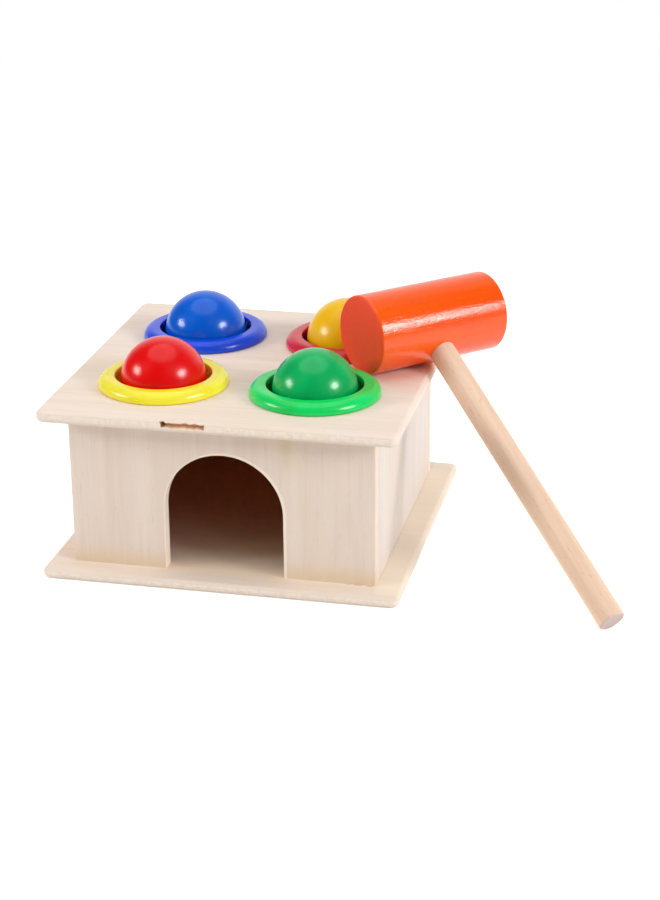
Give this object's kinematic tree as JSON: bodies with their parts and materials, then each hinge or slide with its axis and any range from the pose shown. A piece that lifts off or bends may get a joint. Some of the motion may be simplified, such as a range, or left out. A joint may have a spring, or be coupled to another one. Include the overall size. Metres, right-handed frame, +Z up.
{
  "type": "wooden pounding toy",
  "caption": "Plywood box with an arched doorway, whose top board holds round balls in springy plastic rings, with a loose wooden hammer that strikes them through.",
  "frame": {"origin": "middle of the base board's underside, on the surface that the box stands on", "axes": "+Z up, -Y out of the arched doorway, +X towards the side where the hammer leans"},
  "size_m": [0.2014, 0.1309, 0.0906],
  "materials": {
    "pale_plywood": "sanded, unfinished",
    "ring_yellow": "gloss",
    "ring_blue": "gloss",
    "ring_green": "gloss",
    "ring_red": "gloss",
    "ball_red": "gloss lacquer",
    "ball_blue": "gloss lacquer",
    "ball_green": "gloss lacquer",
    "ball_yellow": "gloss lacquer",
    "orange_lacquer": "satin lacquer",
    "beech": "sanded, unfinished"
  },
  "bodies": {
    "box": {"base_board": "pale_plywood", "front_wall": "pale_plywood", "back_wall": "pale_plywood", "left_wall": "pale_plywood", "right_wall": "pale_plywood", "top_board": "pale_plywood", "ring_yellow": "ring_yellow", "ring_blue": "ring_blue", "ring_green": "ring_green", "ring_red": "ring_red", "lip_yellow": "ring_yellow", "lip_blue": "ring_blue", "lip_green": "ring_green", "lip_red": "ring_red"},
    "ball_red": {"ball_red": "ball_red"},
    "ball_blue": {"ball_blue": "ball_blue"},
    "ball_green": {"ball_green": "ball_green"},
    "ball_yellow": {"ball_yellow": "ball_yellow"},
    "hammer": {"hammer_head": "orange_lacquer", "hammer_handle": "beech"}
  },
  "joints": [
    {"name": "ball_red_drop", "type": "slide", "parent": "box", "child": "ball_red", "axis": [0, 0, 1], "range_m": [-0.0448, 0.035], "deforming": ["lip_yellow"]},
    {"name": "ball_blue_drop", "type": "slide", "parent": "box", "child": "ball_blue", "axis": [0, 0, 1], "range_m": [-0.0448, 0.035], "deforming": ["lip_blue"]},
    {"name": "ball_green_drop", "type": "slide", "parent": "box", "child": "ball_green", "axis": [0, 0, 1], "range_m": [-0.044, 0.035], "deforming": ["lip_green"]},
    {"name": "ball_yellow_drop", "type": "slide", "parent": "box", "child": "ball_yellow", "axis": [0, 0, 1], "range_m": [-0.0452, 0.035], "deforming": ["lip_red"]},
    {"name": "hammer_lift", "type": "slide", "parent": "box", "child": "hammer", "axis": [0, 0, 1], "range_m": [0, 0.12]}
  ]
}
